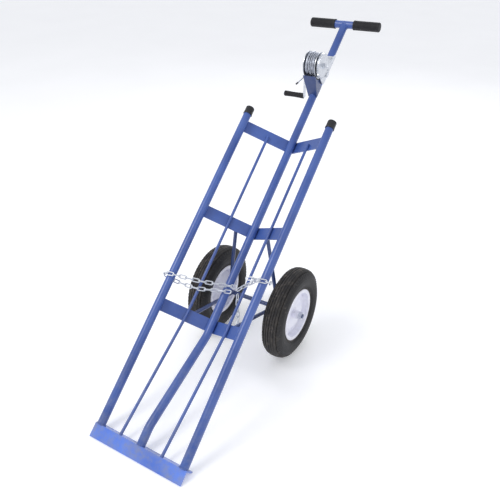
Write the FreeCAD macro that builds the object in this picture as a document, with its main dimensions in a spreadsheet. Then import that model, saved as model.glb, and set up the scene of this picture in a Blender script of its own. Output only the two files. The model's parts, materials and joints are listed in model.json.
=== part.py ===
import FreeCAD, Part
import Sketcher
import math
import os
from FreeCAD import Placement, Rotation, Vector

# Hand truck with a rope winch.  Every piece is drawn in the frame of the load bed:
# X across, Y up along the rails from their lower ends, Z square to the bed on the load side.
# The finished pieces are then tilted together so that the toe and both wheels stand on the ground.

os.makedirs("parts", exist_ok=True)
doc = FreeCAD.newDocument("handTruck")
sheet = doc.addObject("Spreadsheet::Sheet", "sizes")
finished = []


class Size:
    """A length that carries its number and the sheet formula behind it."""

    def __init__(self, value, text):
        self.value = value
        self.text = text

    @staticmethod
    def of(other):
        return other if isinstance(other, Size) else Size(float(other), repr(float(other)))

    def join(self, other, sign, result):
        return Size(result, f"({self.text} {sign} {Size.of(other).text})")

    def __add__(self, other):
        return self.join(other, "+", self.value + Size.of(other).value)

    def __sub__(self, other):
        return self.join(other, "-", self.value - Size.of(other).value)

    def __mul__(self, other):
        return self.join(other, "*", self.value * Size.of(other).value)

    def __truediv__(self, other):
        return self.join(other, "/", self.value / Size.of(other).value)

    def __radd__(self, other):
        return Size.of(other) + self

    def __rsub__(self, other):
        return Size.of(other) - self

    def __rmul__(self, other):
        return Size.of(other) * self

    def __neg__(self):
        return Size(-self.value, f"(0 - {self.text})")


nothing = Size(0.0, "0")


def root(amount):
    return Size(math.sqrt(amount.value), f"sqrt({amount.text})")


def size(alias, value):
    """Writes one driving dimension to the sheet and hands it back for use."""
    line = size.lines = getattr(size, "lines", 0) + 1
    sheet.set(f"A{line}", alias)
    sheet.set(f"B{line}", str(value))
    sheet.setAlias(f"B{line}", alias)
    return Size(float(value), f"sizes.{alias}")


# ---- tubes, bars and the bed
tubeRadius = size("tubeRadius", 16.85)
tubeWall = size("tubeWall", 2.6)
railSpacing = size("railSpacing", 386)
railLength = size("railLength", 1424)
rodRadius = size("rodRadius", 6)
valleyDepth = size("valleyDepth", 120.5)
lowBend = size("lowBend", 74)
highBend = size("highBend", 461)
bendRadius = size("bendRadius", 110)
handleHeight = size("handleHeight", 2006)
handleHalf = size("handleHalf", 164)
crossLow = size("crossLow", 502)
crossMiddle = size("crossMiddle", 927)
crossHigh = size("crossHigh", 1347)
crossWidth = size("crossWidth", 52)
crossThick = size("crossThick", 6)
toeDrop = size("toeDrop", 52.6)
toeDepth = size("toeDepth", 55)
toeThick = size("toeThick", 6)
toeFace = size("toeFace", 11.7)
toeOverhang = size("toeOverhang", 1.8)
weldGap = size("weldGap", 0.1)
stitch = size("stitch", 2)

# ---- plastic and rubber
capWall = size("capWall", 2)
capSkirt = size("capSkirt", 32)
capTop = size("capTop", 5)
gripRadius = size("gripRadius", 21)
gripLength = size("gripLength", 123)
gripEnd = size("gripEnd", 4)
slipFit = size("slipFit", 0.08)

# ---- wheels and axle
wheelRadius = size("wheelRadius", 200)
wheelOffset = size("wheelOffset", 187.6)
axleHeight = size("axleHeight", 705.4)
axleBack = size("axleBack", 383.3)
axleRadius = size("axleRadius", 9.5)
strutRadius = size("strutRadius", 8)
strutFoot = size("strutFoot", 125.5)
strutStep = size("strutStep", 17.5)
strutTopSpread = size("strutTopSpread", 74)
strutLowSpread = size("strutLowSpread", 92)
sectionRadius = size("sectionRadius", 47)
tyreWall = size("tyreWall", 7)
beadHalf = size("beadHalf", 33)
beadThick = size("beadThick", 9)
tyreHeight = size("tyreHeight", 98)
beadSeat = wheelRadius - tyreHeight
flangeHeight = size("flangeHeight", 12)
rimFlange = beadSeat + flangeHeight
rimSheet = size("rimSheet", 3)
wellDrop = size("wellDrop", 10)
wellRadius = beadSeat - wellDrop
hubRadius = size("hubRadius", 17)
hubHalf = size("hubHalf", 41)
bushWall = size("bushWall", 3)
bushLength = size("bushLength", 22)
runningFit = size("runningFit", 0.06)
sideFit = size("sideFit", 0.4)
collarRadius = size("collarRadius", 16)
collarWidth = size("collarWidth", 12)
washerThick = size("washerThick", 2.5)
washerRadius = size("washerRadius", 16)
axleNutWidth = size("axleNutWidth", 28)
axleNutThick = size("axleNutThick", 12)
axleTail = size("axleTail", 3)
valveRadius = size("valveRadius", 3.8)
valveLength = size("valveLength", 30)
valveInset = size("valveInset", 18)
valveRing = wellRadius - valveInset

# ---- winch
drumHeight = size("drumHeight", 1693.5)
drumDepth = size("drumDepth", 13.9)
drumHalf = size("drumHalf", 28.6)
flangeRadius = size("flangeRadius", 55)
flangeThick = size("flangeThick", 2.5)
barrelRadius = size("barrelRadius", 16)
drumShaftRadius = size("drumShaftRadius", 6)
drumShaftTail = size("drumShaftTail", 24)
cheekGap = size("cheekGap", 1.4)
cheekThick = size("cheekThick", 3)
noseReach = size("noseReach", 52)
cheekMargin = size("cheekMargin", 8)
cheekRise = size("cheekRise", 22)
gearGap = size("gearGap", 2)
gearFace = size("gearFace", 8)
gearModule = size("gearModule", 2.5)
gearTeeth = size("gearTeeth", 40)
pinionTeeth = size("pinionTeeth", 12)
crankBearing = size("crankBearing", -80.2)
crankShaftRadius = size("crankShaftRadius", 6)
crankReach = size("crankReach", 113)
crankArmWidth = size("crankArmWidth", 16)
crankArmThick = size("crankArmThick", 5)
crankArmOut = size("crankArmOut", 30)
crankGripLength = size("crankGripLength", 98)
crankGripRadius = size("crankGripRadius", 12.5)
crankPinRadius = size("crankPinRadius", 4)
ratchetRadius = size("ratchetRadius", 20)
ratchetDepth = size("ratchetDepth", 4)
ratchetTeeth = size("ratchetTeeth", 12)
ratchetThick = size("ratchetThick", 5)
pawlBearing = size("pawlBearing", 146.2)
pawlDistance = size("pawlDistance", 36)
pawlBoss = size("pawlBoss", 7)
pawlPinRadius = size("pawlPinRadius", 3)
pawlClear = size("pawlClear", 0.5)
leverRadius = size("leverRadius", 2.2)
leverOut = size("leverOut", 16)
leverDrop = size("leverDrop", 52)
leverLift = size("leverLift", 12)
leverTipRadius = size("leverTipRadius", 3.6)
leverTipLength = size("leverTipLength", 12)
ropeRadius = size("ropeRadius", 2.5)
ropeBuild = size("ropeBuild", 47)
bracketLow = size("bracketLow", 1664)
bracketHigh = size("bracketHigh", 1812)
standLow = size("standLow", 1603)
standHigh = size("standHigh", 1661)
standTop = size("standTop", 13)
standWall = size("standWall", 4)
uBoltRadius = size("uBoltRadius", 3)
uBoltLow = size("uBoltLow", 1722)
uBoltHigh = size("uBoltHigh", 1798)
nutWidth = size("nutWidth", 10)
nutThick = size("nutThick", 5)

# ---- chain
wireRadius = size("wireRadius", 2.25)
linkPitch = size("linkPitch", 28)
linkInner = size("linkInner", 8.5)
flatBite = size("flatBite", 1.2)
edgeBite = size("edgeBite", 4.2)
tailLinks = size("tailLinks", 6)
tailSpread = size("tailSpread", 64)
tailAlong = size("tailAlong", 652)
tailDepth = size("tailDepth", 94)
chainClear = size("chainClear", 12.35)
chainTurn = tubeRadius + chainClear

# ---- places worked out from the sizes
railX = railSpacing / 2
centreZ = -valleyDepth
slope = root(railX * railX + valleyDepth * valleyDepth) / railX
tubeFront = centreZ + tubeRadius
plateFrontAtRail = -(tubeRadius * slope)
plateBackAtRail = -((tubeRadius + crossThick) * slope)
rodX = railX / 2
rodZ = -(valleyDepth / 2) - (tubeRadius - rodRadius) * slope
centreDistance = (gearTeeth + pinionTeeth) * gearModule / 2
crankY = drumHeight.value + centreDistance.value * math.cos(math.radians(crankBearing.value))
crankZ = -drumDepth.value + centreDistance.value * math.sin(math.radians(crankBearing.value))
cheekInner = drumHalf + cheekGap
cheekOuter = cheekInner + cheekThick
gearInner = cheekOuter + gearGap
gearOuter = gearInner + gearFace
armInner = cheekOuter + crankArmOut
armOuter = armInner + crankArmThick

# The bed leans back until the wheels and the toe's lower edge share one ground plane.
toeHeelZ = toeFace.value - toeThick.value
reach = math.hypot(axleHeight.value + toeDrop.value, axleBack.value + toeHeelZ)
lean = math.asin(wheelRadius.value / reach)
lean += math.atan2(axleBack.value + toeHeelZ, axleHeight.value + toeDrop.value)


def along(y, z):
    return y * math.cos(lean) - z * math.sin(lean)


def above(y, z):
    return y * math.sin(lean) + z * math.cos(lean)


frontEdge = along(-toeDrop.value, toeFace.value)
backEdge = along(handleHeight.value, centreZ.value) + gripRadius.value
bed = Placement(
    Vector(0, -(frontEdge + backEdge) / 2, -above(-toeDrop.value, toeHeelZ)),
    Rotation(Vector(1, 0, 0), math.degrees(lean)),
)
down = bed.Rotation.inverted().multVec(Vector(0, 0, -1))

alongX = Rotation(Vector(0, 1, 0), 90)
alongY = Rotation(Vector(1, 0, 0), -90)
alongZ = Rotation()
across = Rotation(Vector(1, 1, 1), 120)


# ---- helpers
def at(x, y, z, turn=alongZ):
    spot = [float(v.value) if isinstance(v, Size) else float(v) for v in (x, y, z)]
    return Placement(Vector(*spot), turn)


def bind(item, prop, amount):
    setattr(item, prop, amount.value)
    item.setExpression(prop, amount.text)


def cylinder(radius, length, place):
    item = doc.addObject("Part::Cylinder", "cylinder")
    bind(item, "Radius", radius)
    bind(item, "Height", length)
    item.Placement = place
    return item


def box(length, width, height, place):
    item = doc.addObject("Part::Box", "box")
    bind(item, "Length", length)
    bind(item, "Width", width)
    bind(item, "Height", height)
    item.Placement = place
    return item


def cut(base, *tools):
    for tool in tools:
        item = doc.addObject("Part::Cut", "cut")
        item.Base = base
        item.Tool = tool
        base = item
    return base


def fuse(*items):
    item = doc.addObject("Part::MultiFuse", "fuse")
    item.Shapes = list(items)
    return item


def group(*items):
    item = doc.addObject("Part::Compound", "group")
    item.Links = list(items)
    return item


def feature(shape, place=None):
    item = doc.addObject("Part::Feature", "shape")
    item.Shape = shape
    if place:
        item.Placement = place
    return item


def pipe(outer, wall, length, place):
    return cut(cylinder(outer, length, place), cylinder(outer - wall, length, place))


def ring(inner, outer, length, place):
    return cut(cylinder(outer, length, place), cylinder(inner, length, place))


def finish(label, item):
    """Names a finished piece and carries it from the bed frame to the ground frame."""
    item.Label = label
    item.Placement = bed.multiply(item.Placement)
    finished.append(item)
    return item


def newBody(place=None):
    item = doc.addObject("PartDesign::Body", "body")
    if place:
        item.Placement = place
    return item


def newSketch(body, role):
    sketch = body.newObject("Sketcher::SketchObject", "sketch")
    plane = [face for face in body.Origin.OriginFeatures if face.Role == role][0]
    sketch.AttachmentSupport = [(plane, "")]
    sketch.MapMode = "FlatFace"
    return sketch


def constrain(sketch, kind, *rest):
    amount = rest[-1]
    place = sketch.addConstraint(Sketcher.Constraint(kind, *rest[:-1], amount.value))
    sketch.setExpression(f"Constraints[{place}]", amount.text)


def outline(sketch, corners, closed=True):
    """Draws lines between corners (x, y); a corner (x, y, radius, side) starts an arc."""
    corners = [tuple(Size.of(v) for v in corner[:3]) + tuple(corner[3:]) for corner in corners]
    pairs = list(zip(corners, corners[1:] + corners[:1]))
    if not closed:
        pairs = pairs[:-1]
    first = sketch.GeometryCount
    ends = []
    for start, end in pairs:
        a = Vector(start[0].value, start[1].value, 0)
        b = Vector(end[0].value, end[1].value, 0)
        if len(start) == 2:
            sketch.addGeometry(Part.LineSegment(a, b), False)
            ends.append((1, 2))
            continue
        radius = start[2].value
        half = (b - a).Length / 2
        side = Vector(0, 0, 1).cross(b - a).normalize() * start[3]
        centre = (a + b) * 0.5 + side * math.sqrt(max(radius * radius - half * half, 0))
        angles = [math.atan2(p.y - centre.y, p.x - centre.x) for p in (a, b)]
        if start[3] < 0:
            angles.reverse()
        circle = Part.Circle(centre, Vector(0, 0, 1), radius)
        sketch.addGeometry(Part.ArcOfCircle(circle, angles[0], angles[1]), False)
        ends.append((1, 2) if start[3] > 0 else (2, 1))
    for step, (start, end) in enumerate(pairs):
        constrain(sketch, "DistanceX", first + step, ends[step][0], start[0])
        constrain(sketch, "DistanceY", first + step, ends[step][0], start[1])
        if closed or step + 1 < len(pairs):
            follower = (step + 1) % len(pairs)
            sketch.addConstraint(Sketcher.Constraint(
                "Coincident", first + step, ends[step][1], first + follower, ends[follower][0]))
        else:
            constrain(sketch, "DistanceX", first + step, ends[step][1], end[0])
            constrain(sketch, "DistanceY", first + step, ends[step][1], end[1])
        if len(start) > 2:
            constrain(sketch, "Radius", first + step, start[2])


def circle(sketch, x, y, radius):
    place = sketch.addGeometry(Part.Circle(Vector(x.value, y.value, 0), Vector(0, 0, 1), radius.value), False)
    constrain(sketch, "DistanceX", place, 3, x)
    constrain(sketch, "DistanceY", place, 3, y)
    constrain(sketch, "Radius", place, radius)


def pad(body, sketch, length):
    item = body.newObject("PartDesign::Pad", "pad")
    item.Profile = sketch
    item.SideType = "Symmetric"
    bind(item, "Length", length)
    return item


def pocket(body, sketch, length):
    doc.recompute()
    item = body.newObject("PartDesign::Pocket", "pocket")
    item.Profile = sketch
    item.SideType = "Symmetric"
    bind(item, "Length", length)
    return item


def padded(role, corners, length, place=None):
    body = newBody(place)
    sketch = newSketch(body, role)
    outline(sketch, corners)
    pad(body, sketch, length)
    return body


def turned(corners, place=None):
    """Turns a half outline (radius, height) round the Z axis."""
    body = newBody(place)
    sketch = newSketch(body, "XZ_Plane")
    outline(sketch, corners)
    item = body.newObject("PartDesign::Revolution", "turned")
    item.Profile = sketch
    item.ReferenceAxis = (sketch, ["V_Axis"])
    item.Angle = 360
    return body


def swept(role, corners, radii, place=None):
    """Sweeps one circle, or two for a tube, up the line of corners from the XZ plane."""
    body = newBody(place)
    spine = newSketch(body, role)
    outline(spine, corners, closed=False)
    section = newSketch(body, "XZ_Plane")
    for radius in radii:
        circle(section, nothing, nothing, radius)
    item = body.newObject("PartDesign::AdditivePipe", "swept")
    item.Profile = section
    item.Spine = (spine, [f"Edge{count + 1}" for count in range(spine.GeometryCount)])
    item.Transition = "Right corner"
    return body


def hexagon(width, thick, place):
    item = doc.addObject("Part::Prism", "hexagon")
    item.Polygon = 6
    bind(item, "Circumradius", width / math.sqrt(3))
    bind(item, "Height", thick)
    item.Placement = place
    return item


def bent(y0, z0, y1, z1, y2, z2, radius):
    """Tangent points of an arc of the given radius at the middle one of three corners."""
    before = math.hypot(y1 - y0, z1 - z0)
    after = math.hypot(y2 - y1, z2 - z1)
    intoY, intoZ = (y1 - y0) / before, (z1 - z0) / before
    outY, outZ = (y2 - y1) / after, (z2 - z1) / after
    turn = math.acos(intoY * outY + intoZ * outZ)
    run = radius * math.tan(turn / 2)
    side = 1 if intoY * outZ - intoZ * outY > 0 else -1
    return (y1 - intoY * run, z1 - intoZ * run), (y1 + outY * run, z1 + outZ * run), side


# ---- the bed: rails, cross members, rods, centre tube, toe and handle
def rail(side):
    return pipe(tubeRadius, tubeWall, railLength, at(side * railX, 0, 0, alongY))


def railCap(side):
    outer = tubeRadius + slipFit + capWall
    inner = tubeRadius + slipFit
    corners = [
        (nothing, capTop), (outer - capTop, capTop, capTop, -1), (outer, nothing),
        (outer, -capSkirt), (inner, -capSkirt), (inner, nothing), (nothing, nothing)]
    return turned(corners, at(side * railX, railLength, 0, alongY))


def crossMember(height):
    """Flat bar folded to a V that lies behind the rails, rods and centre tube."""
    valleyFront = centreZ - tubeRadius * slope
    valleyBack = centreZ - (tubeRadius + crossThick) * slope
    edge = railX
    corners = [
        (-edge, plateFrontAtRail), (nothing, valleyFront), (edge, plateFrontAtRail),
        (edge, plateBackAtRail), (nothing, valleyBack), (-edge, plateBackAtRail)]
    return padded("XZ_Plane", corners, crossWidth, at(0, height, 0))


def lineBend(y0, z0, y1, z1, y2, z2):
    first, last, side = bent(y0, z0, y1, z1, y2, z2, bendRadius.value)
    return [(first[0], first[1], bendRadius, side), (last[0], last[1])]


def rod(side):
    top = crossHigh.value
    corners = [(0, 0)]
    corners += lineBend(0, 0, crossLow.value, rodZ.value, top, rodZ.value)
    corners += [(top, rodZ)]
    return swept("YZ_Plane", corners, [rodRadius], at(side * rodX, 0, 0))


def centreTube():
    low, high, depth = lowBend.value, highBend.value, centreZ.value
    corners = [(0, 0)]
    corners += lineBend(0, 0, low, 0, high, depth)
    corners += lineBend(low, 0, high, depth, handleHeight.value, depth)
    corners += [(handleHeight, centreZ)]
    tube = swept("YZ_Plane", corners, [tubeRadius, tubeRadius - tubeWall])
    saddle = cylinder(tubeRadius + weldGap, 4 * tubeRadius, at(-2 * tubeRadius, handleHeight, centreZ, alongX))
    return cut(tube, saddle)


def toeAngle():
    """Angle bar: one leg stands down in front of the rails' ends, the other runs back under them."""
    front = toeFace
    back = toeFace - toeThick
    heel = toeFace - toeDepth
    corners = [
        (-toeDrop, back), (-toeDrop, front), (nothing, front),
        (nothing, heel), (-toeThick, heel), (-toeThick, back)]
    width = railSpacing + 2 * (tubeRadius + toeOverhang)
    return padded("YZ_Plane", corners, width)


def handleBar():
    place = at(-handleHalf, handleHeight, centreZ, alongX)
    return pipe(tubeRadius, tubeWall, 2 * handleHalf, place)


def grip(side):
    inner = tubeRadius + slipFit
    rounding = gripRadius - inner
    corners = [
        (nothing, gripEnd), (inner, gripEnd, rounding, -1), (gripRadius, gripEnd - rounding),
        (gripRadius, gripEnd - gripLength), (inner, gripEnd - gripLength), (inner, nothing),
        (nothing, nothing)]
    turn = alongX if side > 0 else Rotation(Vector(0, 1, 0), -90)
    return turned(corners, at(side * handleHalf, handleHeight, centreZ, turn))


for name, side in (("left", -1), ("right", 1)):
    finish(f"{name}_rail", rail(side))
    finish(f"{name}_rail_cap", railCap(side))
    finish(f"{name}_rod", rod(side))
    finish(f"{name}_grip", grip(side))
for name, height in (("lower", crossLow), ("middle", crossMiddle), ("upper", crossHigh)):
    finish(f"{name}_cross_member", crossMember(height))
finish("centre_tube", centreTube())
finish("toe_angle", toeAngle())
finish("handle_bar", handleBar())


# ---- undercarriage: axle, struts, collars, washers and nuts
axleY = axleHeight
axleZ = -axleBack
hubOut = wheelOffset + hubHalf
bushFace = hubOut + sideFit
axleHalf = bushFace + washerThick + axleNutThick + axleTail


def strut(side, crossHeight, spread, footSpread):
    """Round bar from the back of a cross member to the axle."""
    tilt = valleyDepth.value / railX.value
    backZ = centreZ.value - (tubeRadius.value + crossThick.value) * slope.value + spread.value * tilt
    head = Vector(spread.value, crossHeight.value, backZ)
    foot = Vector(footSpread.value, axleY.value, axleZ.value)
    axis = (head - foot).normalize()
    start = foot + axis * (axleRadius.value * 0.5)
    length = (head - start).Length + 3 * strutRadius.value
    bar = cylinder(strutRadius, Size.of(length), Placement(start, Rotation(Vector(0, 0, 1), axis)))
    notch = cylinder(axleRadius + weldGap, 2 * strutFoot, at(0, axleY, axleZ, alongX))
    fold = Rotation(Vector(0, 1, 0), -math.degrees(math.atan(tilt)))
    corner = head + fold.multVec(Vector(0, 0, -weldGap.value))
    trim = 20 * strutRadius
    corner += fold.multVec(Vector(-trim.value / 2, 0, 0)) - Vector(0, trim.value / 2, 0)
    block = box(trim, trim, trim, Placement(corner, fold))
    shape = cut(bar, notch, block)
    if side < 0:
        mirror = doc.addObject("Part::Mirroring", "mirror")
        mirror.Source = shape
        mirror.Normal = Vector(1, 0, 0)
        shape = mirror
    return shape


def axle():
    return cylinder(axleRadius, 2 * axleHalf, at(-axleHalf, axleY, axleZ, alongX))


def collars():
    inside = wheelOffset - hubHalf - sideFit - collarWidth
    bore = axleRadius + slipFit
    return group(*[
        ring(bore, collarRadius, collarWidth, at(x, axleY, axleZ, alongX))
        for x in (inside, -inside - collarWidth)])


def washers():
    bore = axleRadius + slipFit
    return group(*[
        ring(bore, washerRadius, washerThick, at(x, axleY, axleZ, alongX))
        for x in (bushFace, -bushFace - washerThick)])


def axleNuts():
    seat = bushFace + washerThick
    pieces = []
    for x in (seat, -seat - axleNutThick):
        place = at(x, axleY, axleZ, alongX)
        pieces.append(cut(
            hexagon(axleNutWidth, axleNutThick, place),
            cylinder(axleRadius + slipFit, axleNutThick, place)))
    return group(*pieces)


for name, side in (("left", -1), ("right", 1)):
    finish(f"{name}_upper_strut", strut(side, crossMiddle, strutTopSpread, strutFoot))
    finish(f"{name}_lower_strut", strut(side, crossLow, strutLowSpread, strutFoot - strutStep))
finish("axle", axle())
finish("axle_collars", collars())
finish("axle_washers", washers())
finish("axle_nuts", axleNuts())


# ---- wheels
def tyre(place):
    """Pneumatic tyre: round section open at the beads, which sit on the rim."""
    centre = wheelRadius - sectionRadius
    shoulder = beadHalf + rimSheet
    outer = centre - root(sectionRadius * sectionRadius - shoulder * shoulder)
    cavity = sectionRadius - tyreWall
    inside = beadHalf - beadThick
    inner = centre - root(cavity * cavity - inside * inside)
    corners = [
        (beadSeat, -beadHalf), (rimFlange + weldGap, -beadHalf), (outer, -shoulder, sectionRadius, 1),
        (wheelRadius, nothing, sectionRadius, 1), (outer, shoulder), (rimFlange + weldGap, beadHalf),
        (beadSeat, beadHalf), (beadSeat, inside), (inner, inside, cavity, -1),
        (centre + cavity, nothing, cavity, -1), (inner, -inside), (beadSeat, -inside)]
    return turned(corners, place)


def rim(place):
    """Pressed rim with side flanges, carried by a dished disc near its outer side."""
    edge = beadHalf + weldGap
    seat = beadSeat - weldGap
    barrel = seat - rimSheet
    disc = beadThick
    hubWall = hubRadius + weldGap
    corners = [
        (barrel, -edge - rimSheet), (rimFlange, -edge - rimSheet), (rimFlange, -edge), (seat, -edge),
        (seat, edge), (rimFlange, edge), (rimFlange, edge + rimSheet), (barrel, edge + rimSheet),
        (barrel, disc), (wellRadius, disc), (valveRing - 12, disc + 10), (hubWall + 12, disc + 4),
        (hubWall, disc + 4), (hubWall, disc + 4 - rimSheet), (hubWall + 12, disc + 4 - rimSheet),
        (valveRing - 12, disc + 10 - rimSheet), (wellRadius, disc - rimSheet), (barrel, disc - rimSheet)]
    body = turned(corners, place)
    hole = cylinder(valveRadius + slipFit, 3 * tyreWall, place.multiply(at(valveRing, 0, 0)))
    return cut(body, hole)


def hub(place):
    bore = axleRadius + runningFit + bushWall
    middle = axleRadius + 3 * slipFit
    shell = cylinder(hubRadius, 2 * hubHalf, place.multiply(at(0, 0, -hubHalf)))
    low = cylinder(bore, bushLength, place.multiply(at(0, 0, -hubHalf)))
    high = cylinder(bore, bushLength, place.multiply(at(0, 0, hubHalf - bushLength)))
    through = cylinder(middle, 2 * hubHalf, place.multiply(at(0, 0, -hubHalf)))
    return cut(shell, low, high, through)


def bushes(place):
    inner = axleRadius + runningFit
    return group(*[
        ring(inner, inner + bushWall, bushLength, place.multiply(at(0, 0, z)))
        for z in (-hubHalf, hubHalf - bushLength)])


def valve(place):
    return cylinder(valveRadius, valveLength, place.multiply(at(valveRing, 0, -valveLength / 3)))


for name, side in (("left", -1), ("right", 1)):
    turn = alongX if side > 0 else Rotation(Vector(0, 1, 0), -90)
    spot = at(side * wheelOffset, axleY, axleZ, turn)
    finish(f"{name}_tyre", tyre(spot))
    finish(f"{name}_rim", rim(spot))
    finish(f"{name}_hub", hub(spot))
    finish(f"{name}_wheel_bushes", bushes(spot))
    finish(f"{name}_valve", valve(spot))



# ---- winch: bracket and stand on the centre tube
drumY = drumHeight
drumZ = -drumDepth
plateTop = tubeFront + cheekThick
noseRadius = drumShaftRadius + 10
shaftBushWall = bushWall - 1
bushBore = drumShaftRadius + runningFit + shaftBushWall + slipFit


def bracket():
    """Plated channel: its base lies on the centre tube and its two cheeks carry both shafts."""
    corners = [
        (bracketLow, tubeFront), (bracketHigh, tubeFront), (bracketHigh, tubeFront + 4 * cheekThick),
        (drumY + noseReach, Size.of(crankZ) + cheekMargin), (drumY + noseRadius, drumZ, noseRadius, 1),
        (drumY, drumZ + noseRadius, noseRadius, 1), (drumY - noseRadius, drumZ),
        (bracketLow - cheekMargin, Size.of(crankZ) + cheekRise),
        (bracketLow - cheekMargin, Size.of(crankZ) - cheekMargin)]
    body = newBody(at(0, 0, 0, across))
    side = newSketch(body, "XY_Plane")
    outline(side, corners)
    pad(body, side, 2 * cheekOuter)
    gap = newSketch(body, "XY_Plane")
    low, high = bracketLow - 4 * noseRadius, bracketHigh + noseRadius
    outline(gap, [(low, plateTop), (high, plateTop), (high, drumZ + 2 * noseRadius),
                  (low, drumZ + 2 * noseRadius)])
    pocket(body, gap, 2 * cheekInner)
    edge = newSketch(body, "XY_Plane")
    outline(edge, [(low, tubeFront - noseRadius), (bracketLow, tubeFront - noseRadius),
                   (bracketLow, plateTop), (low, plateTop)])
    pocket(body, edge, 2 * cheekInner)
    bores = newSketch(body, "XY_Plane")
    circle(bores, drumY, drumZ, bushBore)
    circle(bores, Size.of(crankY), Size.of(crankZ), bushBore)
    pocket(body, bores, 2 * cheekOuter)
    holes = [
        cylinder(uBoltRadius + slipFit, 3 * cheekThick, at(x, y, tubeFront - cheekThick))
        for y in (uBoltLow, uBoltHigh) for x in (uBoltSpread, -uBoltSpread)]
    return cut(body, *holes)


def wedge(rear, low, lowTop, halfBase, halfTop, place):
    item = doc.addObject("Part::Wedge", "wedge")
    bottom = centreZ + stitch
    for prop, amount in (
            ("Xmin", -halfBase), ("Xmax", halfBase), ("X2min", -halfTop), ("X2max", halfTop),
            ("Ymin", bottom), ("Ymax", -standTop), ("Zmin", -rear), ("Zmax", -low),
            ("Z2min", -rear), ("Z2max", -lowTop)):
        bind(item, prop, amount)
    item.Placement = place
    return item


def stand():
    """Folded wedge welded to the centre tube below the drum, open towards the handle."""
    place = Placement(Vector(), Rotation(Vector(1, 0, 0), 90))
    halfBase = tubeRadius + standWall + weldGap
    halfTop = cheekInner
    shell = wedge(standHigh, standLow, standLow + 30, halfBase, halfTop, place)
    hollow = wedge(
        standHigh + standWall, standLow + standWall, standLow + standWall + 30,
        halfBase - standWall, halfTop - standWall, place)
    tube = cylinder(tubeRadius + weldGap, 200 * standWall, at(0, standLow - 40, centreZ, alongY))
    drum = cylinder(flangeRadius + standWall + 1, 4 * cheekOuter, at(-2 * cheekOuter, drumY, drumZ, alongX))
    return cut(shell, hollow, tube, drum)


def uBolt(y):
    legTop = plateTop + nutThick + uBoltRadius
    legs = [
        cylinder(uBoltRadius, legTop - centreZ, at(x, y, centreZ)) for x in (uBoltSpread, -uBoltSpread)]
    bow = doc.addObject("Part::Torus", "bow")
    bind(bow, "Radius1", uBoltSpread)
    bind(bow, "Radius2", uBoltRadius)
    bow.Angle3 = 180
    bow.Placement = at(0, y, centreZ, alongY)
    return fuse(bow, *legs)


def uBoltNuts():
    pieces = []
    for y in (uBoltLow, uBoltHigh):
        for x in (uBoltSpread, -uBoltSpread):
            place = at(x, y, plateTop)
            pieces.append(cut(
                hexagon(nutWidth, nutThick, place), cylinder(uBoltRadius + slipFit, nutThick, place)))
    return group(*pieces)


def shaftBushes():
    length = cheekThick + gearGap / 2
    inner = drumShaftRadius + runningFit
    pieces = []
    for y, z in ((drumY, drumZ), (crankY, crankZ)):
        for x in (cheekInner, -cheekOuter - gearGap / 2):
            pieces.append(ring(inner, inner + shaftBushWall, length, at(x, y, z, alongX)))
    return group(*pieces)


uBoltSpread = tubeRadius + uBoltRadius + 2 * slipFit
finish("winch_bracket", bracket())
finish("winch_stand", stand())
finish("winch_u_bolts", group(uBolt(uBoltLow), uBolt(uBoltHigh)))
finish("winch_u_bolt_nuts", uBoltNuts())
finish("winch_shaft_bushes", shaftBushes())


# ---- winch: gears
pressureAngle = math.radians(25)
addendum = 0.9
dedendum = 1.2
backlash = 0.16


def involute(angle):
    return math.tan(angle) - angle


def toothedShape(teeth, bore, firstTooth, width):
    """Spur gear round the Z axis with involute flanks and a bore."""
    module = gearModule.value
    pitch = teeth * module / 2
    base = pitch * math.cos(pressureAngle)
    tip = pitch + addendum * module
    foot = pitch - dedendum * module
    halfTooth = math.pi / (2 * teeth) - backlash / (2 * pitch)

    def halfAngle(radius):
        tilt = math.acos(min(base / radius, 1))
        return halfTooth + involute(pressureAngle) - involute(tilt)

    def point(radius, angle):
        return Vector(radius * math.cos(angle), radius * math.sin(angle), 0)

    start = max(base, foot)
    radii = [start + (tip - start) * step / 4 for step in range(5)]
    edges = []
    step = 2 * math.pi / teeth
    for tooth in range(teeth):
        middle = math.radians(firstTooth) + tooth * step
        rise = [point(r, middle - halfAngle(r)) for r in radii]
        fall = [point(r, middle + halfAngle(r)) for r in reversed(radii)]
        footIn = point(foot, middle - halfAngle(start))
        footOut = point(foot, middle + halfAngle(start))
        nextFoot = point(foot, middle + step - halfAngle(start))
        if start > foot:
            edges.append(Part.LineSegment(footIn, rise[0]).toShape())
        for flank in (rise, fall):
            curve = Part.BSplineCurve()
            curve.interpolate(flank)
            edges.append(curve.toShape())
            if flank is rise:
                edges.append(Part.Arc(rise[-1], point(tip, middle), fall[0]).toShape())
        if start > foot:
            edges.append(Part.LineSegment(fall[-1], footOut).toShape())
        edges.append(Part.Arc(footOut, point(foot, middle + step / 2), nextFoot).toShape())
    face = Part.Face(Part.Wire(edges))
    solid = face.extrude(Vector(0, 0, width.value))
    return solid.cut(Part.makeCylinder(bore.value, width.value))


def mainGear():
    shape = toothedShape(
        int(gearTeeth.value), drumShaftRadius + slipFit, crankBearing.value, gearFace)
    return feature(shape, at(gearInner, drumY, drumZ, across))


def pinion():
    teeth = int(pinionTeeth.value)
    gapFirst = crankBearing.value + 180 + 180 / teeth
    shape = toothedShape(teeth, crankShaftRadius + slipFit, gapFirst, gearFace)
    return feature(shape, at(gearInner, crankY, crankZ, across))


# ---- winch: drum, rope and drum shaft
def drum():
    bore = drumShaftRadius + slipFit
    corners = [
        (bore, -drumHalf), (flangeRadius, -drumHalf), (flangeRadius, flangeThick - drumHalf),
        (barrelRadius, flangeThick - drumHalf), (barrelRadius, drumHalf - flangeThick),
        (flangeRadius, drumHalf - flangeThick), (flangeRadius, drumHalf), (bore, drumHalf)]
    return turned(corners, at(0, drumY, drumZ, alongX))


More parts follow.
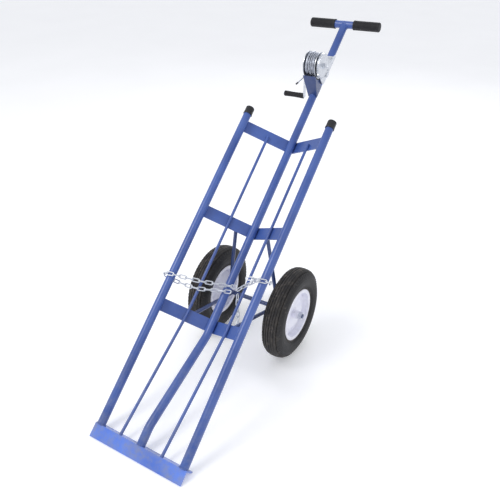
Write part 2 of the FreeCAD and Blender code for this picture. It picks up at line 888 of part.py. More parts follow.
def windings():
    half = drumHalf - flangeThick - 2 * slipFit
    return ring(barrelRadius + slipFit, Size.of(ropeBuild), 2 * half, at(-half, drumY, drumZ, alongX))


def ferrule():
    """Pressed sleeve on the rope's end; it lies on the top turns, square to the shaft."""
    radius = ropeRadius + 1.5
    length = 9 * ropeRadius
    lift = ropeBuild.value + radius.value + slipFit.value
    up = Vector(0, -down.y, -down.z)
    lengthwise = Vector(1, 0, 0).cross(up)
    middle = Vector(-2 * ropeRadius.value, drumY.value, drumZ.value) + up * lift
    start = middle - lengthwise * (length.value / 2)
    return cylinder(radius, length, Placement(start, Rotation(Vector(0, 0, 1), lengthwise)))


def drumShaft():
    left = cheekOuter + gearGap + nutThick * 2
    length = left + gearOuter + drumShaftTail
    return cylinder(drumShaftRadius, length, at(-left, drumY, drumZ, alongX))


def drumNuts():
    thick = nutThick * 2 - 1
    pieces = []
    for x in (gearOuter + slipFit, -cheekOuter - gearGap - thick):
        place = at(x, drumY, drumZ, alongX)
        pieces.append(cut(
            hexagon(nutWidth * 1.9, thick, place), cylinder(drumShaftRadius + slipFit, thick, place)))
    return group(*pieces)


finish("winch_drum", drum())
finish("winch_rope", windings())
finish("rope_ferrule", ferrule())
finish("drum_shaft", drumShaft())
finish("drum_shaft_nuts", drumNuts())
finish("main_gear", mainGear())


# ---- winch: crank, ratchet and pawl
crankBossRadius = crankShaftRadius + 4
hang = math.degrees(math.atan2(down.z, down.y))
ratchetInner = cheekOuter + gearGap
ratchetOuter = ratchetInner + ratchetThick
gripTurn = Rotation(Vector(0, 1, 0), -90)
gripY = crankY + down.y * crankReach.value
gripZ = crankZ + down.z * crankReach.value


def crankShaft():
    left = armOuter + nutThick + 3
    length = left + gearOuter + 2
    return cylinder(crankShaftRadius, length, at(-left, crankY, crankZ, alongX))


def crankArm():
    """Flat arm that hangs straight down, with a boss that reaches in to the ratchet wheel."""
    half = crankArmWidth / 2
    corners = [
        (nothing, half, half, 1), (-half, nothing, half, 1), (nothing, -half),
        (crankReach, -half, half, 1), (crankReach + half, nothing, half, 1), (crankReach, half)]
    turn = across.multiply(Rotation(Vector(0, 0, 1), hang))
    middle = armInner + crankArmThick / 2
    plate = padded("XY_Plane", corners, crankArmThick, at(-middle, crankY, crankZ, turn))
    bossLength = armInner - ratchetOuter - sideFit
    boss = cylinder(crankBossRadius, bossLength, at(-armInner, crankY, crankZ, alongX))
    shaftHole = cylinder(crankShaftRadius + slipFit, 2 * armOuter, at(-2 * armOuter, crankY, crankZ, alongX))
    pinHole = cylinder(crankPinRadius + slipFit, 2 * armOuter, at(-2 * armOuter, gripY, gripZ, alongX))
    return cut(fuse(plate, boss), shaftHole, pinHole)


def crankNut():
    place = at(-armOuter - nutThick, crankY, crankZ, alongX)
    return cut(
        hexagon(nutWidth * 1.8, nutThick, place), cylinder(crankShaftRadius + slipFit, nutThick, place))


def crankPin():
    """Pin riveted in the arm; its wide head keeps the grip on."""
    head = crankPinRadius + 3
    end = armOuter + 2 * sideFit + crankGripLength
    corners = [
        (nothing, armInner), (crankPinRadius, armInner), (crankPinRadius, end + sideFit),
        (head, end + sideFit), (head, end + sideFit + 3), (nothing, end + sideFit + 3)]
    return turned(corners, at(0, gripY, gripZ, gripTurn))


def crankGrip():
    inner = crankPinRadius + runningFit
    start = armOuter + 2 * sideFit
    waist = crankGripRadius - 1.5
    end = start + crankGripLength
    corners = [
        (inner, start), (waist, start), (crankGripRadius, start + 8), (crankGripRadius, end - 12),
        (waist, end), (inner, end)]
    return turned(corners, at(0, gripY, gripZ, gripTurn))


def ratchetWheel():
    teeth = int(ratchetTeeth.value)
    corners = []
    for tooth in range(teeth):
        for radius, share in ((ratchetRadius.value, 0.0), (ratchetRadius.value - ratchetDepth.value, 0.08)):
            angle = 2 * math.pi * (tooth + share) / teeth
            corners.append((radius * math.cos(angle), radius * math.sin(angle)))
    middle = ratchetInner + ratchetThick / 2
    wheel = padded("XY_Plane", corners, ratchetThick, at(-middle, crankY, crankZ, across))
    bore = cylinder(
        crankShaftRadius + slipFit, 2 * ratchetOuter, at(-2 * ratchetOuter, crankY, crankZ, alongX))
    return cut(wheel, bore)


pawlY = crankY + pawlDistance.value * math.cos(math.radians(pawlBearing.value))
pawlZ = crankZ + pawlDistance.value * math.sin(math.radians(pawlBearing.value))
pawlNose = 4.4 * pawlBoss


def pawl():
    """Pawl plate beside the left cheek; its nose rides just clear of the ratchet teeth."""
    corners = [
        (nothing, -pawlBoss), (pawlNose, 4 * pawlClear), (pawlNose, pawlBoss), (nothing, pawlBoss, pawlBoss, 1),
        (-pawlBoss, nothing, pawlBoss, 1)]
    middle = ratchetInner + ratchetThick / 2
    plate = padded("XY_Plane", corners, ratchetThick, at(-middle, pawlY, pawlZ, across))
    bore = cylinder(
        pawlPinRadius + runningFit, 2 * ratchetOuter, at(-2 * ratchetOuter, pawlY, pawlZ, alongX))
    return cut(plate, bore)


def pawlPin():
    """Shouldered pin in the left cheek."""
    seat = ratchetOuter + sideFit
    corners = [
        (nothing, cheekOuter), (pawlPinRadius, cheekOuter), (pawlPinRadius, seat),
        (pawlPinRadius + 1, seat), (pawlPinRadius + 1, seat + 2), (nothing, seat + 2)]
    return turned(corners, at(0, pawlY, pawlZ, gripTurn))


leverRoot = Vector(-ratchetOuter.value, pawlY - pawlBoss.value * 0.95, pawlZ + 1)
leverRun = Vector(-leverOut.value, -leverDrop.value, leverLift.value)
leverTurn = Rotation(Vector(0, 0, 1), leverRun)


def pawlLever():
    """Thin bar bent out from the pawl plate."""
    rod = cylinder(leverRadius, Size.of(leverRun.Length), Placement(leverRoot, leverTurn))
    face = box(30 * leverRadius, 30 * leverRadius, 30 * leverRadius, at(
        -ratchetOuter.value + 0.05, pawlY - 15 * leverRadius.value, pawlZ - 15 * leverRadius.value))
    return cut(rod, face)


def leverTip():
    start = leverRoot + leverRun * (1 + slipFit.value / leverRun.Length)
    return cylinder(leverTipRadius, leverTipLength, Placement(start, leverTurn))


finish("crank_shaft", crankShaft())
finish("pinion", pinion())
finish("ratchet_wheel", ratchetWheel())
finish("crank_arm", crankArm())
finish("crank_nut", crankNut())
finish("crank_pin", crankPin())
finish("crank_grip", crankGrip())
finish("pawl", pawl())
finish("pawl_pin", pawlPin())
finish("pawl_lever", pawlLever())
finish("pawl_lever_tip", leverTip())


# ---- load chain
def linkShape():
    bow = (linkInner.value + 2 * wireRadius.value) / 2
    half = (linkPitch.value - linkInner.value) / 2
    path = [
        Part.LineSegment(Vector(-half, bow, 0), Vector(half, bow, 0)).toShape(),
        Part.Arc(Vector(half, bow, 0), Vector(half + bow, 0, 0), Vector(half, -bow, 0)).toShape(),
        Part.LineSegment(Vector(half, -bow, 0), Vector(-half, -bow, 0)).toShape(),
        Part.Arc(Vector(-half, -bow, 0), Vector(-half - bow, 0, 0), Vector(-half, bow, 0)).toShape()]
    section = Part.Wire(Part.Circle(Vector(-half, bow, 0), Vector(1, 0, 0), wireRadius.value).toShape())
    return Part.Wire(path).makePipeShell([section], True, False)


def pace(route):
    """Joints between links along a route; a link on edge bites deeper into its neighbours."""
    corners = [Vector(*corner) for corner in route]
    points = [corners[0]]
    halfLink = (linkPitch / 2 + wireRadius).value
    strides = (2 * (halfLink - flatBite.value), 2 * (halfLink - edgeBite.value))
    for start, end in zip(corners, corners[1:]):
        run = end - start
        while (end - points[-1]).Length >= strides[(len(points) - 1) % 2]:
            stride = strides[(len(points) - 1) % 2]
            low = max((points[-1] - start).dot(run) / run.dot(run), 0.0)
            high = 1.0
            for _ in range(40):
                middle = (low + high) / 2
                if (start + run * middle - points[-1]).Length < stride:
                    low = middle
                else:
                    high = middle
            points.append(start + run * high)
    return points


def chain(route):
    """Links along a route, lying flat and standing on edge by turns."""
    link = linkShape()
    points = pace(route)
    links = []
    for step, (a, b) in enumerate(zip(points, points[1:])):
        axis = (b - a).normalize()
        edgeways = axis.cross(Vector(0, 1, 0)).normalize()
        flat = edgeways.cross(axis)
        wide, thin = (flat, edgeways) if step % 2 == 0 else (edgeways, -flat)
        copy = link.copy()
        copy.Placement = Placement((a + b) * 0.5, Rotation(axis, wide, thin, "XYZ"))
        links.append(copy)
    return links


def roundRail(side, height, climb):
    """Corners of a turn of chain round a rail, from its front face to behind its inner side."""
    first, last, count = 60, 300, 16
    corners = []
    for step in range(count + 1):
        angle = math.radians(first + (last - first) * step / count)
        corners.append((
            side * (railX.value - chainTurn.value * math.cos(angle)),
            height + climb * step / count,
            chainTurn.value * math.sin(angle)))
    return corners


leftStrand = [(56, 676, -80), (0, 670, -92), (-97, 643, -46)]
leftStrand += roundRail(-1, 622, -14)
leftStrand += [(-97, 612, -52), (0, 645, -92), (56, 654, -84)]
rightStrand = [(66, 664, -74), (104, 684, -46)]
rightStrand += roundRail(1, 706, 20)
rightStrand += [(128, 720, -38), (98, 712, -38)]
finish("load_chain", feature(Part.makeCompound(chain(leftStrand) + chain(rightStrand))))

# The tail hangs straight down beside the left strand, without touching it.
halfLink = linkPitch / 2 + wireRadius
tailTop = Vector(tailSpread.value, tailAlong.value, -tailDepth.value)
tailEnd = tailTop + down * (tailLinks * (2 * halfLink - flatBite - edgeBite) + 1).value
finish("chain_tail", feature(Part.makeCompound(chain([tuple(tailTop), tuple(tailEnd)]))))


# ---- write every finished piece
doc.recompute()
for item in doc.Objects:
    if "Invalid" in item.State or "Error" in item.State:
        raise RuntimeError(f"{item.Name} ({item.Label}) did not build: {item.State}")
for item in finished:
    if item.Shape.isNull() or not item.Shape.isValid():
        raise RuntimeError(f"{item.Label} has no valid shape")
    item.Shape.exportStep(f"parts/{item.Label}.step")
    print(item.Label, len(item.Shape.Solids), round(item.Shape.Volume / 1000, 2), "cm3")
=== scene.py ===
import json
import math
import bmesh
import bpy
from mathutils import Matrix, Vector, noise


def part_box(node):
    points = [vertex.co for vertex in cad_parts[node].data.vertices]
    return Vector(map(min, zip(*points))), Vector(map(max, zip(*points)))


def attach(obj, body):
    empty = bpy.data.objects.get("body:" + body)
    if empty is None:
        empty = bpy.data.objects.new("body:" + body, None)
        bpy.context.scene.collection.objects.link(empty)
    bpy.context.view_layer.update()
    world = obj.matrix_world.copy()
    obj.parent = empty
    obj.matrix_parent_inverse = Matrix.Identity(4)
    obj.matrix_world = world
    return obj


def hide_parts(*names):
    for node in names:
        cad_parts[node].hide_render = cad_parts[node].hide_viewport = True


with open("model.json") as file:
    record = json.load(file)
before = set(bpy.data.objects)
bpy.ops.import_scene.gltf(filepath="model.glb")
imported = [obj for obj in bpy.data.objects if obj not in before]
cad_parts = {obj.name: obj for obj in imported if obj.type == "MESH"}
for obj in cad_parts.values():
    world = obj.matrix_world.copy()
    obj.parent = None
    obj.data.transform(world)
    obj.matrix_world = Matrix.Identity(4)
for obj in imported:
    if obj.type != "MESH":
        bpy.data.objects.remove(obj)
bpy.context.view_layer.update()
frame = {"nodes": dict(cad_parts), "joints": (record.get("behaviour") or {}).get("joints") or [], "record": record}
nodes = frame["nodes"]
joints = {joint["name"]: joint for joint in frame["joints"]}
toeMount = frame["record"]["mounts"][0]
print("frame loaded with", len(nodes), "nodes")


# directions of the truck's bed: across, along the rails, and out of the load side
across = Vector((1, 0, 0))
offBed = Vector(toeMount["axis"]).normalized()
alongBed = offBed.cross(across).normalized()
bedSizes = {"toeDrop": 0.0526, "toeFace": 0.0117, "tubeRadius": 0.01685, "railHalfSpacing": 0.193}
bedStart = Vector(toeMount["pos_m"]) + alongBed * bedSizes["toeDrop"] / 2 - offBed * bedSizes["toeFace"]


def onBed(x, u, w):
    return bedStart + across * x + alongBed * u + offBed * w


def bedPlace(point):
    offset = point - bedStart
    return offset.x, offset.dot(alongBed), offset.dot(offBed)


# camera and light
cameraSizes = {"place": (1.07725, -1.7843, 1.66124), "right": (0.85326, 0.52148, -0.00333),
               "down": (0.25897, -0.42925, -0.86527), "forward": (-0.45265, 0.73743, -0.5013),
               "focal": 567.698, "frame": 500, "sensor": 36}


def addCamera():
    lens = bpy.data.cameras.new("camera")
    lens.sensor_width = cameraSizes["sensor"]
    lens.lens = cameraSizes["sensor"] * cameraSizes["focal"] / cameraSizes["frame"]
    lens.clip_start = 0.02
    lens.clip_end = 200
    camera = bpy.data.objects.new("camera", lens)
    columns = [Vector(cameraSizes["right"]), -Vector(cameraSizes["down"]), -Vector(cameraSizes["forward"])]
    turn = Matrix((columns[0], columns[1], columns[2])).transposed().to_4x4()
    camera.matrix_world = Matrix.Translation(cameraSizes["place"]) @ turn
    bpy.context.scene.collection.objects.link(camera)
    bpy.context.scene.camera = camera


lampSizes = {
    "key": {"place": (-1.8, -2.6, 4.2), "size": 2.0, "power": 76, "colour": (1, 0.985, 0.96)},
    "fill": {"place": (3.6, -1.6, 2.6), "size": 3.0, "power": 16, "colour": (0.95, 0.97, 1)},
    "back": {"place": (-0.8, 3.8, 3.4), "size": 2.8, "power": 34, "colour": (0.97, 0.98, 1)},
}


def addLamps():
    target = Vector((0, -0.1, 0.6))
    for name, sizes in lampSizes.items():
        lamp = bpy.data.lights.new(name, "AREA")
        lamp.shape = "DISK"
        lamp.size = sizes["size"]
        lamp.energy = sizes["power"]
        lamp.color = sizes["colour"]
        holder = bpy.data.objects.new(name, lamp)
        holder.location = sizes["place"]
        holder.rotation_euler = (target - holder.location).to_track_quat("-Z", "Y").to_euler()
        bpy.context.scene.collection.objects.link(holder)
    world = bpy.data.worlds.new("studio")
    world.use_nodes = True
    world.node_tree.nodes["Background"].inputs["Color"].default_value = (0.93, 0.95, 1, 1)
    world.node_tree.nodes["Background"].inputs["Strength"].default_value = 0.72
    bpy.context.scene.world = world


addCamera()
addLamps()
print("camera and lamps placed")


# shader writing: Wire carries a socket through Python sums, Finish makes every other node
class Wire:
    def __init__(self, finish, socket):
        self.finish = finish
        self.socket = socket

    def join(self, operation, first, second):
        return self.finish.node("Math", {"operation": operation}, {0: first, 1: second})

    def __add__(self, other):
        return self.join("ADD", self, other)

    def __radd__(self, other):
        return self.join("ADD", other, self)

    def __sub__(self, other):
        return self.join("SUBTRACT", self, other)

    def __rsub__(self, other):
        return self.join("SUBTRACT", other, self)

    def __mul__(self, other):
        return self.join("MULTIPLY", self, other)

    def __rmul__(self, other):
        return self.join("MULTIPLY", other, self)


class Finish:
    def __init__(self, name):
        self.material = bpy.data.materials.new(name)
        self.material.use_nodes = True
        self.tree = self.material.node_tree
        self.tree.nodes.clear()

    def node(self, kind, settings=None, sockets=None, out=0):
        made = self.tree.nodes.new("ShaderNode" + kind)
        for key, value in (settings or {}).items():
            if key == "stops":
                for index, (place, colour) in enumerate(value):
                    stop = made.color_ramp.elements[index] if index < 2 else made.color_ramp.elements.new(place)
                    stop.position = place
                    stop.color = colour
            else:
                setattr(made, key, value)
        for key, value in (sockets or {}).items():
            if isinstance(value, Wire):
                self.tree.links.new(value.socket, made.inputs[key])
            else:
                made.inputs[key].default_value = value
        return Wire(self, made.outputs[out]) if made.outputs else None

    def place(self):
        return self.node("TexCoord", out="Object")

    def stretch(self, place, amounts):
        return self.node("VectorMath", {"operation": "MULTIPLY"}, {0: place, 1: amounts})

    def cloud(self, place, scale, detail=3, rough=0.5, warp=0):
        return self.node("TexNoise", {}, {"Vector": place, "Scale": scale, "Detail": detail,
                                          "Roughness": rough, "Distortion": warp})

    def cells(self, place, scale, feature="F1", out=0):
        return self.node("TexVoronoi", {"feature": feature}, {"Vector": place, "Scale": scale}, out)

    def step(self, value, low, high):
        return self.node("MapRange", {"clamp": True, "interpolation_type": "SMOOTHSTEP"},
                         {"Value": value, "From Min": low, "From Max": high})

    def mix(self, mask, low, high):
        return self.node("Mix", {"data_type": "RGBA", "clamp_factor": True}, {0: mask, 6: low, 7: high}, 2)

    def part(self, place, letter):
        return self.node("SeparateXYZ", {}, {0: place}, letter)

    def bump(self, height, distance, strength=1.0):
        return self.node("Bump", {}, {"Strength": strength, "Distance": distance, "Height": height}, 0)

    def close(self, **sockets):
        names = {key.replace("_", " "): value for key, value in sockets.items()}
        shader = self.node("BsdfPrincipled", {}, names)
        self.node("OutputMaterial", {}, {"Surface": shader})
        return self.material


paint = {"light": (0.062, 0.128, 0.42, 1), "deep": (0.038, 0.085, 0.31, 1), "chalk": (0.19, 0.26, 0.47, 1),
         "steel": (0.3, 0.31, 0.34, 1), "dust": (0.27, 0.28, 0.31, 1), "rough": 0.3}


def bluePaint(name, wear=0.0, paintedLightScale=1.0):
    made = Finish(name)
    place = made.place()
    drift = made.cloud(place, 6, 4)
    peel = made.cloud(place, 620, 2, 0.4)
    rub = made.cloud(place, 34, 6, 0.72, 0.4)
    scuff = made.step(rub, 0.64 - 0.09 * wear, 0.74 - 0.05 * wear)
    chips = made.step(made.cloud(place, 150, 5, 0.75), 0.735 - 0.07 * wear, 0.75 - 0.06 * wear)
    low = 1 - made.step(made.part(place, "Z"), 0.02, 0.34)
    film = made.step(made.cloud(place, 22, 5, 0.65), 0.35, 0.75) * (low * 0.35 + 0.06 + 0.35 * wear)
    # the last argument multiplies the whole paint colour: above 1 it is painted light, below 1 painted shade
    dark = tuple(c * paintedLightScale for c in paint["deep"][:3]) + (1,)
    light = tuple(c * paintedLightScale for c in paint["light"][:3]) + (1,)
    colour = made.mix(made.step(drift, 0.3, 0.7), dark, light)
    colour = made.mix(scuff * (0.35 + 0.3 * wear), colour, paint["chalk"])
    colour = made.mix(film, colour, paint["dust"])
    colour = made.mix(chips, colour, paint["steel"])
    rough = paint["rough"] + scuff * 0.22 + film * 0.5 + drift * 0.06
    height = peel * 0.5 + rub * 0.25 - chips * 1.1
    return made.close(Base_Color=colour, Roughness=rough, Metallic=chips * 0.8, Coat_Weight=0.25,
                      Coat_Roughness=0.16, Normal=made.bump(height, 0.00022, 0.55))


zinc = {"bright": (0.88, 0.9, 0.94, 1), "grey": (0.6, 0.63, 0.68, 1), "straw": (0.62, 0.58, 0.47, 1),
        "grime": (0.11, 0.1, 0.095, 1)}


def zincPlate(name, grime=0.3, scale=1.0):
    made = Finish(name)
    place = made.place()
    spangle = made.part(made.cells(place, 130 * scale, out="Color"), "X")
    drift = made.cloud(place, 30 * scale, 5, 0.6)
    drag = made.cloud(made.stretch(place, (900, 120, 120)), 1, 3, 0.6)
    soil = made.step(made.cloud(place, 70 * scale, 6, 0.7), 0.5, 0.8) * grime
    colour = made.mix(spangle * 0.5 + drift * 0.3, zinc["grey"], zinc["bright"])
    colour = made.mix(made.step(drift, 0.55, 0.8) * 0.22, colour, zinc["straw"])
    colour = made.mix(soil, colour, zinc["grime"])
    rough = 0.24 + spangle * 0.12 + soil * 0.45 + drag * 0.08
    return made.close(Base_Color=colour, Roughness=rough, Metallic=1 - soil * 0.9,
                      Normal=made.bump(drag * 0.5 + soil * 0.6, 0.00012, 0.5))


rubber = {"black": (0.009, 0.009, 0.011, 1), "worn": (0.036, 0.036, 0.038, 1), "dust": (0.19, 0.165, 0.14, 1)}


def gripRubber(name, scale=1.0):
    made = Finish(name)
    place = made.place()
    grain = made.cloud(place, 900 * scale, 3, 0.6)
    rub = made.cloud(place, 45 * scale, 5, 0.65)
    worn = made.step(rub, 0.45, 0.75)
    specks = made.step(made.cloud(place, 260, 4, 0.7), 0.62, 0.7)
    colour = made.mix(worn * 0.6, rubber["black"], rubber["worn"])
    colour = made.mix(specks * 0.28, colour, rubber["dust"])
    return made.close(Base_Color=colour, Roughness=0.52 + worn * 0.2 + specks * 0.15, Specular_IOR_Level=0.4,
                      Normal=made.bump(grain * 0.6 + rub * 0.5, 0.0003, 0.6))


tyreLook = {"tread": 0.188, "wall": 0.128, "bead": 0.112}


def tyreRubber(name):
    made = Finish(name)
    place = made.place()
    side = made.part(place, "X")
    flat = made.node("VectorMath", {"operation": "MULTIPLY"}, {0: place, 1: (0, 1, 1)})
    radius = made.node("VectorMath", {"operation": "LENGTH"}, {0: flat}, "Value")
    streak = made.cloud(made.stretch(place, (60, 22, 22)), 1, 6, 0.68, 0.3)
    fine = made.cloud(place, 420, 4, 0.7)
    clod = made.step(made.cloud(place, 48, 6, 0.75), 0.5, 0.76)
    tread = made.step(radius, tyreLook["tread"] - 0.012, tyreLook["tread"] + 0.004)
    low = 1 - made.step(radius, tyreLook["bead"], tyreLook["wall"])
    dust = streak * (0.36 + tread * 0.3 + low * 0.5) + clod * 0.35
    colour = made.mix(made.step(fine, 0.35, 0.75), rubber["black"], (0.034, 0.032, 0.031, 1))
    colour = made.mix(made.step(dust, 0.2, 0.78) * 0.85, colour, rubber["dust"])
    rough = 0.55 + dust * 0.35 - made.step(side * side, 0.0009, 0.002) * 0.05
    return made.close(Base_Color=colour, Roughness=rough, Specular_IOR_Level=0.35,
                      Normal=made.bump(fine * 0.6 + clod * 0.7, 0.0005, 0.65))


rimLook = {"white": (0.9, 0.9, 0.97, 1), "cool": (0.78, 0.78, 0.9, 1), "dirt": (0.25, 0.22, 0.19, 1),
           "rust": (0.2, 0.09, 0.045, 1)}


def whitePaint(name):
    made = Finish(name)
    place = made.place()
    flat = made.node("VectorMath", {"operation": "MULTIPLY"}, {0: place, 1: (0, 1, 1)})
    centre = (0,) + tuple(joints["left_wheel_spin"]["pos_m"][1:])
    axle = made.node("VectorMath", {"operation": "SUBTRACT"}, {0: flat, 1: centre})
    radius = made.node("VectorMath", {"operation": "LENGTH"}, {0: axle}, "Value")
    drift = made.cloud(place, 14, 5, 0.6)
    peel = made.cloud(place, 520, 2, 0.5)
    spots = made.step(made.cloud(place, 190, 5, 0.75), 0.68, 0.74)
    rim = made.step(radius, 0.09, 0.113)
    hub = 1 - made.step(radius, 0.02, 0.036)
    soil = made.step(made.cloud(place, 44, 6, 0.7), 0.42, 0.8) * (0.05 + rim * 0.35 + hub * 0.4)
    rust = made.step(made.cloud(place, 120, 5, 0.7), 0.62, 0.72) * (rim * 0.5 + hub * 0.6)
    colour = made.mix(made.step(drift, 0.3, 0.75), rimLook["white"], rimLook["cool"])
    colour = made.mix(soil + spots * 0.2, colour, rimLook["dirt"])
    colour = made.mix(rust, colour, rimLook["rust"])
    return made.close(Base_Color=colour, Roughness=0.34 + soil * 0.4 + rust * 0.3, Coat_Weight=0.15,
                      Normal=made.bump(peel * 0.5 + rust * 0.8, 0.0002, 0.6))


def blackPlastic(name):
    made = Finish(name)
    place = made.place()
    grain = made.cells(place, 1100)
    rub = made.cloud(place, 60, 5, 0.65)
    worn = made.step(rub, 0.5, 0.78)
    colour = made.mix(worn * 0.5, (0.012, 0.012, 0.014, 1), (0.06, 0.06, 0.065, 1))
    colour = made.mix(made.step(made.cloud(place, 210, 4, 0.7), 0.64, 0.72) * 0.3, colour, rubber["dust"])
    return made.close(Base_Color=colour, Roughness=0.36 + worn * 0.22,
                      Normal=made.bump(grain * 0.4 + rub * 0.3, 0.00018, 0.5))


def nylonBush(name):
    made = Finish(name)
    place = made.place()
    soil = made.step(made.cloud(place, 120, 5, 0.7), 0.45, 0.8)
    colour = made.mix(soil * 0.6, (0.72, 0.7, 0.62, 1), (0.2, 0.17, 0.14, 1))
    return made.close(Base_Color=colour, Roughness=0.42 + soil * 0.3, Normal=made.bump(soil, 0.0002, 0.4))


def ropeWire(name):
    made = Finish(name)
    place = made.place()
    drift = made.cloud(place, 90, 5, 0.6)
    grease = made.step(made.cloud(place, 55, 6, 0.7), 0.52, 0.78)
    colour = made.mix(made.step(drift, 0.35, 0.7), (0.42, 0.45, 0.52, 1), (0.74, 0.77, 0.84, 1))
    colour = made.mix(grease * 0.5, colour, (0.12, 0.11, 0.1, 1))
    return made.close(Base_Color=colour, Roughness=0.33 + grease * 0.3 + drift * 0.1, Metallic=1 - grease * 0.5,
                      Normal=made.bump(made.cloud(place, 1500, 2, 0.5), 0.0001, 0.5))


finishes = {"blue_paint": bluePaint("bluePaint"), "zinc": zincPlate("zincPlate"),
            "black_rubber": gripRubber("gripRubber"), "tyre_rubber": tyreRubber("tyreRubber"),
            "white_paint": whitePaint("whitePaint"), "black_plastic": blackPlastic("blackPlastic"),
            "nylon": nylonBush("nylonBush"), "wire_rope": ropeWire("ropeWire")}
print("finishes written:", len(finishes))


# mesh writing: rings of points joined into skins
def addPiece(name, body, slot, points, faces, place=(0, 0, 0), finish=None, stands=()):
    mesh = bpy.data.meshes.new(name)
    mesh.from_pydata([tuple(p) for p in points], [], faces)
    work = bmesh.new()
    work.from_mesh(mesh)
    bmesh.ops.recalc_face_normals(work, faces=work.faces)
    work.to_mesh(mesh)
    work.free()
    mesh.materials.append(finish or finishes[slot])
    mesh.polygons.foreach_set("use_smooth", [True] * len(mesh.polygons))
    mesh.set_sharp_from_angle(angle=math.radians(48))
    piece = bpy.data.objects.new(name, mesh)
    piece.location = place
    bpy.context.scene.collection.objects.link(piece)
    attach(piece, body)
    if stands:
        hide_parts(*stands)
    return piece


def loft(rings, loop):
    # loop closes the skin end to end, otherwise both ends are capped
    size = len(rings[0])
    count = len(rings)
    points = [p for ring in rings for p in ring]
    faces = []
    for i in range(count if loop else count - 1):
        a = i * size
        b = (i + 1) % count * size
        for j in range(size):
            k = (j + 1) % size
            faces.append((a + j, a + k, b + k, b + j))
    if not loop:
        faces.append(tuple(range(size))[::-1])
        faces.append(tuple((count - 1) * size + j for j in range(size)))
    return points, faces


def turnAround(profile, steps, axis, side, shape=None):
    # closed profile of (along, out) carried round an axis
    other = axis.cross(side)
    rings = []
    for i in range(steps):
        angle = 2 * math.pi * i / steps
        spoke = side * math.cos(angle) + other * math.sin(angle)
        ring = []
        for along, out in profile:
            if shape:
                along, out = shape(along, out, angle)
            ring.append(axis * along + spoke * out)
        rings.append(ring)
    return loft(rings, True)


def tubeAlong(path, radius, sides=10, loop=False, lobes=0, twist=0.0, swell=None):
    # round or stranded tube along a path, each ring square to it
    rings = []
    normal = None
    travelled = 0.0
    count = len(path)
    for i, point in enumerate(path):
        before = path[i - 1] if i or loop else path[0]
        after = path[(i + 1) % count] if i < count - 1 or loop else path[-1]
        way = (after - before).normalized()
        if normal is None:
            normal = way.orthogonal().normalized()
        normal = (normal - way * normal.dot(way)).normalized()
        side = way.cross(normal)
        if i:
            travelled += (point - path[i - 1]).length
        ring = []
        for j in range(sides):
            angle = 2 * math.pi * j / sides
            out = radius * (swell(travelled) if swell else 1)
            if lobes:
                out *= 1 - 0.13 * (0.5 - 0.5 * math.cos(lobes * (angle - twist * travelled)))
            ring.append(point + (normal * math.cos(angle) + side * math.sin(angle)) * out)
        rings.append(ring)
    return loft(rings, loop)


def joinSkins(skins):
    points, faces = [], []
    for skinPoints, skinFaces in skins:
        start = len(points)
        points += skinPoints
        faces += [tuple(start + i for i in face) for face in skinFaces]
    return points, faces


def middle(node):
    low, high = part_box(node)
    return (low + high) / 2


# tyres with ribs round the crown, notched shoulders and raised rings on the walls
tyreSizes = {"outer": 0.1995, "section": 0.047, "bead": 0.033, "seat": 0.1045, "lip": 0.1165,
             "grooves": (-0.0318, -0.0218, -0.0112, 0.0, 0.0112, 0.0218, 0.0318),
             "grooveDepth": 0.0034, "grooveHalf": 0.0017, "sipes": 72, "steps": 288}


def tyreProfile():
    centre = tyreSizes["outer"] - tyreSizes["section"]
    wall = []  # up the left wall, over the crown and down the right wall
    for i in range(113):
        angle = math.radians(-42 + i * (180 + 84) / 112)
        along = -tyreSizes["section"] * math.cos(angle)
        out = centre + tyreSizes["section"] * math.sin(angle)
        high = out - centre
        if high > 0.026:
            crown = 1 - (1 - (high - 0.026) / 0.021) ** 2
            out = centre + 0.026 + 0.021 * (0.55 * crown + 0.45 * (high - 0.026) / 0.021)
        if abs(out - (centre + 0.013)) < 0.0022:
            along *= 1.018
        if abs(out - (centre - 0.021)) < 0.0028:
            along *= 1.024
        wall.append((along, out))
    profile = []
    for index, (along, out) in enumerate(wall):
        profile.append((along, out))
        if index + 1 < len(wall) and out > centre + 0.024:
            nextAlong, nextOut = wall[index + 1]
            for groove in tyreSizes["grooves"]:
                if along < groove <= nextAlong:
                    share = (groove - along) / (nextAlong - along)
                    top = out + share * (nextOut - out)
                    half, deep = tyreSizes["grooveHalf"], tyreSizes["grooveDepth"]
                    profile.pop()
                    profile += [(groove - half, top), (groove - half * 0.62, top - deep),
                                (groove + half * 0.62, top - deep), (groove + half, top)]
    lip, seat, bead = tyreSizes["lip"], tyreSizes["seat"], tyreSizes["bead"]
    rightBead = [(bead + 0.0035, lip), (bead, lip - 0.0035), (bead, seat), (bead - 0.011, seat),
                 (bead - 0.011, lip - 0.002)]
    leftBead = [(-along, out) for along, out in rightBead[::-1]]
    inside = [(math.cos(math.radians(a)) * 0.039, centre + math.sin(math.radians(a)) * 0.038)
              for a in range(-35, 216, 15)]
    return profile + rightBead + inside + leftBead


def addTyre(side):
    centre = middle(side + "_tyre")
    crown = tyreSizes["outer"] - tyreSizes["section"]

    def shape(along, out, angle):
        # shallow notches in the shoulder ribs
        if out > crown + 0.024 and abs(along) > 0.0285:
            notch = math.cos(angle * tyreSizes["sipes"] + (0.6 if along > 0 else 0))
            if notch > 0.72:
                out -= 0.0016
                along *= 0.985
        return along, out

    points, faces = turnAround(tyreProfile(), tyreSizes["steps"], across, Vector((0, 0, 1)), shape)
    addPiece(side + "_tyre_ribbed", side + "_wheel", "tyre_rubber", points, faces, centre, stands=[side + "_tyre"])


for side in ("left", "right"):
    addTyre(side)
print("tyres ribbed")


# grips: a ringed sleeve along x, open at one end and rounded at the closed one
handleGrip = {"radius": 0.0209, "bore": bedSizes["tubeRadius"] + 0.0001, "ring": 0.0042, "deep": 0.0009,
              "collar": 0.0006, "waist": 0.0, "round": 0.005}
crankGrip = {"bore": 0.0055, "ring": 0.0036, "deep": 0.0007, "collar": 0.0, "waist": 0.0012, "round": 0.005}


